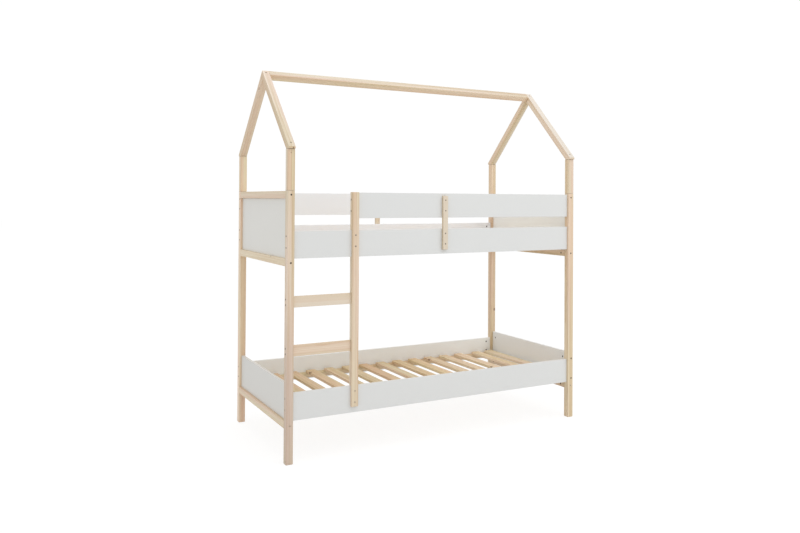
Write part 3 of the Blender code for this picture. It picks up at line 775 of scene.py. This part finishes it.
# Copies of one steel, darkened by place as painted shade of the recesses; the ladder's bolts least
BOLT_STEEL_PAINTED_SHADE = steel_material("bolt_steel", BOLT_PALE, BOLT_DARK, BOLT_LOW_PAINTED_LIGHT)
RIGHT_BOLT_STEEL_PAINTED_SHADE = steel_material(
    "right_bolt_steel", RIGHT_BOLT_PALE, RIGHT_BOLT_DARK, BOLT_LOW_PAINTED_LIGHT, RIGHT_BOLT_FADE
)
LADDER_STEEL = steel_material("ladder_steel", LADDER_BOLT_PALE, LADDER_BOLT_DARK, LADDER_BOLT_LOW_PAINTED_LIGHT)
SCREW_STEEL = steel_material("screw_steel", SCREW_PALE, SCREW_DARK)
NUT_STEEL_PAINTED_SHADE = steel_material("nut_steel", NUT_PALE, NUT_DARK)
STAPLE_STEEL = steel_material("staple_steel", STAPLE_PALE, STAPLE_DARK)


def wear(piece, material):
    """Gives the piece this material on its first slot, without changing its mesh."""
    if not piece.material_slots:
        piece.data.materials.append(None)
    piece.material_slots[0].link = "OBJECT"
    piece.material_slots[0].material = material


def seen_knots():
    """Knots and marks that the photograph shows, as point, branch, radius and reach."""
    end_x, face_y = CAD_BOX[1][0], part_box("post_front_left")[0].y
    slat_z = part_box("lower_slat_1")[1].z - SLAT_KNOT_DEPTH
    left, front, aslant = (-1, 0, 0), (0, -1, 0), (-0.7, 0, 0.7)
    return {
        "rafter_back_left": [((-end_x, 0.061, 2.191), left, 0.0078, 0.014)],
        "upper_end_rail_left": [((-end_x, -0.191, 1.162), left, 0.0074, 0.014)],
        "rafter_front_left": [((-1.012, -0.510, 1.790), front, 0.0048, 0.018)],
        "roof_post_front_left": [((-1.022, face_y, 1.762), front, 0.0026, 0.012)],
        "post_back_right": [((1.031, 0.448, 0.622), front, 0.0080, 0.014)],
        "lower_slat_4": [((-0.570, 0.355, slat_z), aslant, 0.0110, 0.022)],
        "lower_slat_11": [((0.375, 0.350, slat_z), aslant, 0.0110, 0.022)],
        "lower_slat_13": [((0.645, -0.075, slat_z), aslant, 0.0080, 0.022)],
    }


def hidden_knots(node, chance):
    """A few small knots on the sides that the photograph doesn't show."""
    _, centre, half, grain = bar_frame(node)
    depth = min(half.y, half.z)
    knots = []
    for _ in range(int(half.x * chance.uniform(*HIDDEN_KNOT_COUNTS) + HIDDEN_KNOT_ROUNDING)):
        branch = Vector(chance.choice(((1, 0, 0), (0, 1, 0))))
        if abs(branch.dot(grain)) > 0.5:
            branch = Vector((1, 0, 0)) if abs(grain.x) < 0.5 else Vector((0, 1, 0))
        along = chance.uniform(-HIDDEN_KNOT_SPREAD, HIDDEN_KNOT_SPREAD)
        point = centre + grain * half.x * along + branch * depth
        knots.append((point, branch, chance.uniform(*HIDDEN_KNOT_RADII), depth * HIDDEN_KNOT_REACH))
    return knots


def dress_frame():
    """Gives every CAD node its finish by its material slot in the record."""
    seen = seen_knots()
    for part in frame["record"]["subparts"]:
        node = part["node"]
        piece = frame["nodes"][node]
        kind = part["material_slot"]
        knots = [*seen.get(node, ()), *hidden_knots(node, random.Random(node + " knots"))]
        if kind == "pine":
            wear(piece, wood_material(node, PINE_PALE, PINE_DARK, knots, TONE_RANGE))
        elif kind == "slat_pine":
            wear(piece, wood_material(node, SLAT_PALE, SLAT_DARK, knots, SLAT_TONE_RANGE))
        elif kind == "white_board":
            wear(piece, paint_material(node))
        else:
            wear(piece, BOLT_STEEL_PAINTED_SHADE)


def add_piece(name, shape, material):
    """A new piece from a bmesh, riding on the frame."""
    mesh = bpy.data.meshes.new(name)
    shape.to_mesh(mesh)
    shape.free()
    piece = bpy.data.objects.new(name, mesh)
    bpy.context.scene.collection.objects.link(piece)
    wear(piece, material)
    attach(piece, "root")
    return piece


def bar_outline(length, width):
    """Radius of a bar-shaped recess, by angle."""

    def radius(angle):
        across = max(abs(math.sin(angle)), LEAST_SHARE)
        along = max(abs(math.cos(angle)), LEAST_SHARE)
        return min(length / 2 / along, width / 2 / across)

    return radius


def round_outline(radius):
    return lambda angle: radius


def cross_outline(length, width):
    first = bar_outline(length, width)
    second = bar_outline(width, length)
    return lambda angle: max(first(angle), second(angle))


def hexagon_outline(across):
    sixth = math.pi / 3
    return lambda angle: across / 2 / math.cos((angle % sixth) - sixth / 2)


def spokes(length=0.0, width=0.0):
    """Even angles round the axis, with the corners of a bar or cross recess added."""
    angles = {math.tau * step / SPOKES for step in range(SPOKES)}
    if length:
        corner = math.atan2(width, length)
        for quarter in range(4):
            angles |= {(quarter * math.pi / 2 + side * corner) % math.tau for side in (-1, 1)}
    return sorted(angles)


def bolt_form():
    """A connector bolt's head with a hexagon socket, as outlines and depths."""
    head = round_outline(BOLT_HEAD_RADIUS)
    socket = hexagon_outline(BOLT_SOCKET)
    return spokes(), [
        (head, BOLT_DEPTHS["back"]),
        (head, BOLT_DEPTHS["rim"]),
        (round_outline(BOLT_HEAD_RADIUS * BOLT_BEVEL), BOLT_DEPTHS["face"]),
        (hexagon_outline(BOLT_SOCKET * BOLT_SOCKET_LIP), BOLT_DEPTHS["face"]),
        (socket, BOLT_DEPTHS["lip"]),
        (socket, BOLT_DEPTHS["socket"]),
    ]


def nut_form():
    """A barrel nut's round end with a slot."""
    barrel = round_outline(NUT_RADIUS)
    slot = bar_outline(*NUT_SLOT)
    return spokes(*NUT_SLOT), [
        (barrel, NUT_DEPTHS["back"]),
        (barrel, NUT_DEPTHS["rim"]),
        (round_outline(NUT_RADIUS * NUT_BEVEL), NUT_DEPTHS["face"]),
        (slot, NUT_DEPTHS["face"]),
        (slot, NUT_DEPTHS["slot"]),
    ]


def screw_form():
    """A countersunk screw's head with a cross recess."""
    length, width = SCREW_CROSS
    return spokes(length, width), [
        (round_outline(SCREW_HEAD_RADIUS * SCREW_TAPER), SCREW_DEPTHS["back"]),
        (round_outline(SCREW_HEAD_RADIUS), SCREW_DEPTHS["rim"]),
        (round_outline(SCREW_HEAD_RADIUS * SCREW_BEVEL), SCREW_DEPTHS["face"]),
        (cross_outline(length, width), SCREW_DEPTHS["face"]),
        (cross_outline(length * SCREW_TAPER, width * SCREW_TAPER), SCREW_DEPTHS["cross"]),
    ]


def add_form(shape, form, point, inward, twist):
    """Skins the outlines of a fastener, each at its depth under the surface."""
    angles, outlines = form
    turn = Vector((0, 0, -1)).rotation_difference(Vector(inward)) @ Quaternion((0, 0, 1), twist)
    rings = []
    for outline, depth in outlines:
        ring = []
        for angle in angles:
            radius = outline(angle)
            corner = Vector((radius * math.cos(angle), radius * math.sin(angle), -depth))
            ring.append(shape.verts.new(Vector(point) + turn @ corner))
        rings.append(ring)
    for lower, upper in zip(rings, rings[1:]):
        for index in range(len(angles)):
            after = (index + 1) % len(angles)
            shape.faces.new((lower[index], lower[after], upper[after], upper[index]))
    shape.faces.new(rings[-1])
    shape.faces.new(reversed(rings[0]))


def add_fasteners(name, form, spots, metal):
    """All the fasteners of one kind in one piece, each turned its own way."""
    chance = random.Random(name)
    shape = bmesh.new()
    for point, inward in spots:
        add_form(shape, form, point, inward, chance.uniform(0, math.tau))
    piece = add_piece(name, shape, metal)
    piece.data.shade_smooth()
    piece.data.set_sharp_from_angle(angle=SHARP_ANGLE)


def pair(centre, spacing):
    return [centre + spacing / 2, centre - spacing / 2]


def board_heights(node):
    """The two bolts of a side board sit towards its top."""
    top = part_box(node)[1].z - BOLT_DROP
    return [top, top - BOLT_SPACING]


def guard_heights():
    return pair(middle("guard_board_back").z, BOLT_SPACING)


def rung_heights():
    rungs = ("ladder_rung_1", "ladder_rung_2")
    return [z for rung in rungs for z in pair(middle(rung).z, RUNG_BOLT_SPACING)]


def panel_heights():
    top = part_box("lower_end_panel_right")[1].z - PANEL_BOLT_DROP
    return [top, top - PANEL_BOLT_SPACING]


def side_heights():
    return board_heights("upper_side_board_back") + board_heights("lower_side_board_back")


def post_spots(end_name, end, face_name, face):
    """Bolt heads in a post: at its end face for the boards, at its long face for the rails."""
    low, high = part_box("post_" + face_name + "_" + end_name)
    outer_x = (low, high)[end > 0].x
    outer_y = (low, high)[face > 0].y
    board_y = middle("lower_side_board_" + face_name).y
    is_ladder_post = (end_name, face_name) == ("left", "front")
    heights = side_heights() + (rung_heights() if is_ladder_post else guard_heights())
    spots = [((outer_x, board_y, z), (-end, 0, 0)) for z in heights]
    post_x = (low.x + high.x) / 2
    for rail in RAILS:
        spots.append(((post_x, outer_y, middle(rail + end_name).z), (0, -face, 0)))
    if end_name == "right":
        panel_x = middle("lower_end_panel_right").x
        spots += [((panel_x, outer_y, z), (0, -face, 0)) for z in panel_heights()]
    return spots


def stile_spots():
    low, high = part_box("ladder_stile")
    stile_x = (low.x + high.x) / 2
    board_y = middle("lower_side_board_front").y
    spots = [((stile_x, low.y, z), (0, 1, 0)) for z in side_heights()]
    spots += [((low.x, board_y, z), (1, 0, 0)) for z in guard_heights()]
    spots += [((high.x, board_y, z), (-1, 0, 0)) for z in rung_heights()]
    return spots


def rail_nut_spots(end_name, end):
    """Nuts on the inner faces of the end rails and of the right lower panel."""
    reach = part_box("post_back_left")[0].y - NUT_SETBACK
    rails = [middle(rail + end_name).z for rail in RAILS]
    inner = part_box("end_top_rail_" + end_name)[end < 0].x
    spots = [((inner, face * reach, z), (end, 0, 0)) for z in rails for face in (-1, 1)]
    if end_name == "right":
        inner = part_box("lower_end_panel_right")[0].x
        spots += [((inner, face * reach, z), (end, 0, 0)) for z in panel_heights() for face in (-1, 1)]
    return spots


def board_nut_spots(face_name, face):
    """Nuts near both ends of each side board and guard board."""
    spots = []
    for board in ("guard_board_", "upper_side_board_", "lower_side_board_"):
        low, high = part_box(board + face_name)
        heights = guard_heights() if board == "guard_board_" else board_heights(board + face_name)
        inner = (low, high)[face < 0].y
        for z in heights:
            for x in (low.x + NUT_SETBACK, high.x - NUT_SETBACK):
                spots.append(((x, inner, z), (0, face, 0)))
    return spots


def cleat_spots(face_name, face):
    low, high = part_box("cleat_" + face_name)
    outer = (low, high)[face > 0].y
    heights = guard_heights() + board_heights("upper_side_board_back")
    return [((0, outer, z), (0, -face, 0)) for z in heights]


def rafter_spots(end_name, face_name, face):
    """A screw through the rafter's foot, and at the front one near the peak."""
    low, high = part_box("rafter_" + face_name + "_" + end_name)
    x = (low.x + high.x) / 2
    side = high.x - low.x
    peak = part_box("rafter_front_" + end_name)[1].z
    eave = abs((low, high)[face > 0].y)
    inset = peak - side * math.sqrt(2) - low.z
    offsets = [(inset + eave) / 2]
    if face_name == "front":
        offsets.append(side / 2 * math.cos(math.pi / 4))
    slope = math.sin(math.pi / 4)
    return [((x, face * y, peak - y), (0, -face * slope, -slope)) for y in offsets]


def add_all_fasteners():
    bolt, nut, screw = bolt_form(), nut_form(), screw_form()
    for end_name, end in ENDS.items():
        for face_name, face in FACES.items():
            place = face_name + "_" + end_name
            steel = RIGHT_BOLT_STEEL_PAINTED_SHADE if end_name == "right" else BOLT_STEEL_PAINTED_SHADE
            add_fasteners("bolts_" + place, bolt, post_spots(end_name, end, face_name, face), steel)
            spots = rafter_spots(end_name, face_name, face)
            add_fasteners("rafter_screws_" + place, screw, spots, NUT_STEEL_PAINTED_SHADE)
        add_fasteners("end_nuts_" + end_name, nut, rail_nut_spots(end_name, end), NUT_STEEL_PAINTED_SHADE)
    for face_name, face in FACES.items():
        add_fasteners("board_nuts_" + face_name, nut, board_nut_spots(face_name, face), NUT_STEEL_PAINTED_SHADE)
        add_fasteners("cleat_screws_" + face_name, screw, cleat_spots(face_name, face), SCREW_STEEL)
    add_fasteners("ladder_bolts", bolt, stile_spots(), LADDER_STEEL)


def section_middles(section, count):
    """Even places of a section's slats, from its first slat's middle to its last one's."""
    low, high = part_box(section)
    slat_low, slat_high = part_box("lower_slat_1")
    half = (slat_high.x - slat_low.x) / 2
    pitch = (high.x - low.x - 2 * half) / (count - 1)
    return [low.x + half + pitch * index for index in range(count)]


def upper_sections():
    return sorted(node for node in frame["nodes"] if node.startswith("upper_slat_section"))


def slat_middles():
    """Places of the upper slats, from the sections that they stand for."""
    sections = upper_sections()
    count = sum(name.startswith("lower_slat_") for name in frame["nodes"]) // len(sections)
    return [x for section in sections for x in section_middles(section, count)]


def slat_underside():
    """The height under the upper slats, where the tapes lie."""
    low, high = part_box("lower_slat_1")
    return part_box("upper_slat_section_1")[1].z - (high.z - low.z)


def add_upper_slats():
    """Each upper slat is the lower one's twin. Together they stand for the joined sections."""
    sections = upper_sections()
    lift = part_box(sections[0])[1].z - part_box("lower_slat_1")[1].z
    places = slat_middles()
    for index, x in enumerate(places):
        node = "lower_slat_" + str(index + 1)
        move = Vector((x - middle(node).x, 0, lift))
        shape = bmesh.new()
        shape.from_mesh(frame["nodes"][node].data)
        bmesh.ops.translate(shape, vec=move, verts=shape.verts)
        name = node.replace("lower", "upper")
        slat = add_piece(name, shape, twin_material(node, name, move))
        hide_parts(sections[index * len(sections) // len(places)])


def twin_material(node, name, move):
    """The lower slat's material at the upper slat's place, cut from another part of the trunk."""
    material = frame["nodes"][node].material_slots[0].material.copy()
    material.name = name + "_wood"
    chance = random.Random(name)
    for step in material.node_tree.nodes:
        if step.type == "MAPPING":
            turn = step.inputs["Rotation"].default_value
            moved = move.copy()
            moved.rotate(turn)
            step.inputs["Location"].default_value = Vector(step.inputs["Location"].default_value) - moved
        if step.type == "VECT_MATH" and step.operation == "ADD":
            step.inputs[1].default_value = pith_offset(chance)
    return material


def tape_sides():
    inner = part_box("lower_side_board_back")[0].y
    return [side * (inner - TAPE_INSET - TAPE_WIDTH / 2) for side in (-1, 1)]


def tape_drop(x, places):
    """How far the tape hangs below the slats at x."""
    for first, second in zip(places, places[1:]):
        if first <= x <= second:
            return TAPE_SAG * math.sin(math.pi * (x - first) / (second - first)) ** 2
    return 0.0


def add_tapes(material):
    """Two woven tapes that the upper slats are stapled to."""
    places = slat_middles()
    top = slat_underside() - TAPE_GAP
    steps = TAPE_STEPS * (len(places) - 1)
    shares = [index / TAPE_STRIPS - 0.5 for index in range(TAPE_STRIPS + 1)]
    for side_name, side in zip(FACES, tape_sides()):
        shape = bmesh.new()
        rows = []
        for step in range(steps + 1):
            x = places[0] + (places[-1] - places[0]) * step / steps
            z = top - tape_drop(x, places)
            rows.append([shape.verts.new((x, side + TAPE_WIDTH * share, z)) for share in shares])
        for first, second in zip(rows, rows[1:]):
            for index in range(TAPE_STRIPS):
                shape.faces.new((first[index], second[index], second[index + 1], first[index + 1]))
        tape = add_piece("slat_tape_" + side_name, shape, material)
        tape.data.shade_smooth()
        thick = tape.modifiers.new("Thickness", "SOLIDIFY")
        thick.thickness = TAPE_THICKNESS
        thick.offset = -1
        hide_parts("upper_slat_section_1", "upper_slat_section_2", "upper_slat_section_3")


def staple_points(x, y):
    """The wire's corners, from one leg over the crown under the tape to the other leg."""
    under = slat_underside()
    crown = under - TAPE_THICKNESS - 2 * STAPLE_WIRE
    points = []
    for side in (-1, 1):
        reach = y + side * STAPLE_CROWN / 2
        bend = y + side * (STAPLE_CROWN / 2 - 2 * STAPLE_WIRE)
        leg = [(x, reach, under + STAPLE_LEG), (x, reach, crown + 2 * STAPLE_WIRE), (x, bend, crown)]
        points += leg if side < 0 else reversed(leg)
    return points


def add_staples():
    """Wire staples that hold the tapes to the slats."""
    wire = bpy.data.curves.new("tape_staples", "CURVE")
    wire.dimensions = "3D"
    wire.bevel_depth = STAPLE_WIRE
    wire.bevel_resolution = 2
    wire.use_fill_caps = True
    for x in slat_middles():
        for y in tape_sides():
            points = staple_points(x, y)
            line = wire.splines.new("POLY")
            line.points.add(len(points) - 1)
            for spot, point in zip(line.points, points):
                spot.co = (*point, 1)
    staples = bpy.data.objects.new("tape_staples", wire)
    bpy.context.scene.collection.objects.link(staples)
    wear(staples, STAPLE_STEEL)
    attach(staples, "root")


def add_camera():
    """Yaw turns from +Y to +X, pitch lifts, roll turns the frame."""
    yaw, pitch = CAMERA_YAW, CAMERA_PITCH
    forward = Vector((math.sin(yaw) * math.cos(pitch), math.cos(yaw) * math.cos(pitch), math.sin(pitch)))
    level = Vector((math.cos(yaw), -math.sin(yaw), 0))
    upright = level.cross(forward)
    right = level * math.cos(CAMERA_ROLL) + upright * math.sin(CAMERA_ROLL)
    up = upright * math.cos(CAMERA_ROLL) - level * math.sin(CAMERA_ROLL)
    lens = bpy.data.cameras.new("camera")
    lens.sensor_width = SENSOR_WIDTH
    lens.lens = FOCAL_PIXELS * SENSOR_WIDTH / IMAGE_WIDTH
    lens.shift_x, lens.shift_y = CAMERA_SHIFT
    camera = bpy.data.objects.new("camera", lens)
    bpy.context.scene.collection.objects.link(camera)
    turn = Matrix((right, up, -forward)).transposed().to_4x4()
    camera.matrix_world = Matrix.Translation(CAMERA_PLACE) @ turn
    bpy.context.scene.camera = camera


def add_lamp(name, settings):
    """A large soft lamp that faces the middle of the bed."""
    light = bpy.data.lights.new(name, "AREA")
    light.size = settings["size"]
    light.energy = settings["power"]
    lamp = bpy.data.objects.new(name, light)
    bpy.context.scene.collection.objects.link(lamp)
    lamp.location = settings["place"]
    target = (Vector(CAD_BOX[0]) + Vector(CAD_BOX[1])) / 2
    lamp.rotation_euler = (target - lamp.location).to_track_quat("-Z", "Y").to_euler()


def backdrop_share(tree):
    """1 for rays that show the background: the camera's, reflections and what glass shows."""
    path = new_node(tree, "LightPath").outputs
    seen = calc(tree, "MAXIMUM", path["Is Camera Ray"], path["Is Glossy Ray"])
    return calc(tree, "MAXIMUM", seen, path["Is Transmission Ray"])


def add_world():
    world = bpy.data.worlds.new("studio")
    bpy.context.scene.world = world
    world.use_nodes = True
    tree = world.node_tree
    level = backdrop_share(tree)
    strength = total(tree, WORLD_LEVEL, calc(tree, "MULTIPLY", level, SEEN_LEVEL - WORLD_LEVEL))
    plug(tree, tree.nodes["Background"].inputs["Color"], (1, 1, 1, 1))
    plug(tree, tree.nodes["Background"].inputs["Strength"], strength)


def add_floor():
    """A pale floor that shows white and keeps the bed's shadow."""
    shape = bmesh.new()
    place = Matrix.Translation((0, 0, -FLOOR_DROP))
    bmesh.ops.create_grid(shape, x_segments=1, y_segments=1, size=FLOOR_REACH, matrix=place)
    mesh = bpy.data.meshes.new("floor")
    shape.to_mesh(mesh)
    shape.free()
    floor = bpy.data.objects.new("floor", mesh)
    bpy.context.scene.collection.objects.link(floor)
    material, tree, shader = new_material("pale_floor")
    share = backdrop_share(tree)
    plug(tree, shader.inputs["Base Color"], mix_colours(tree, share, FLOOR_COLOUR, FLOOR_SEEN_COLOUR))
    shader.inputs["Roughness"].default_value = 1.0
    shader.inputs["Specular IOR Level"].default_value = 0.0
    plug(tree, shader.inputs["Emission Color"], (1, 1, 1, 1))
    plug(tree, shader.inputs["Emission Strength"], calc(tree, "MULTIPLY", share, FLOOR_GLOW))
    wear(floor, material)


dress_frame()
add_all_fasteners()
add_upper_slats()
add_tapes(tape_material())
add_staples()
add_camera()
add_world()
add_lamp("key", KEY)
add_lamp("fill", FILL)
add_floor()
bpy.context.scene.view_settings.view_transform = "Standard"
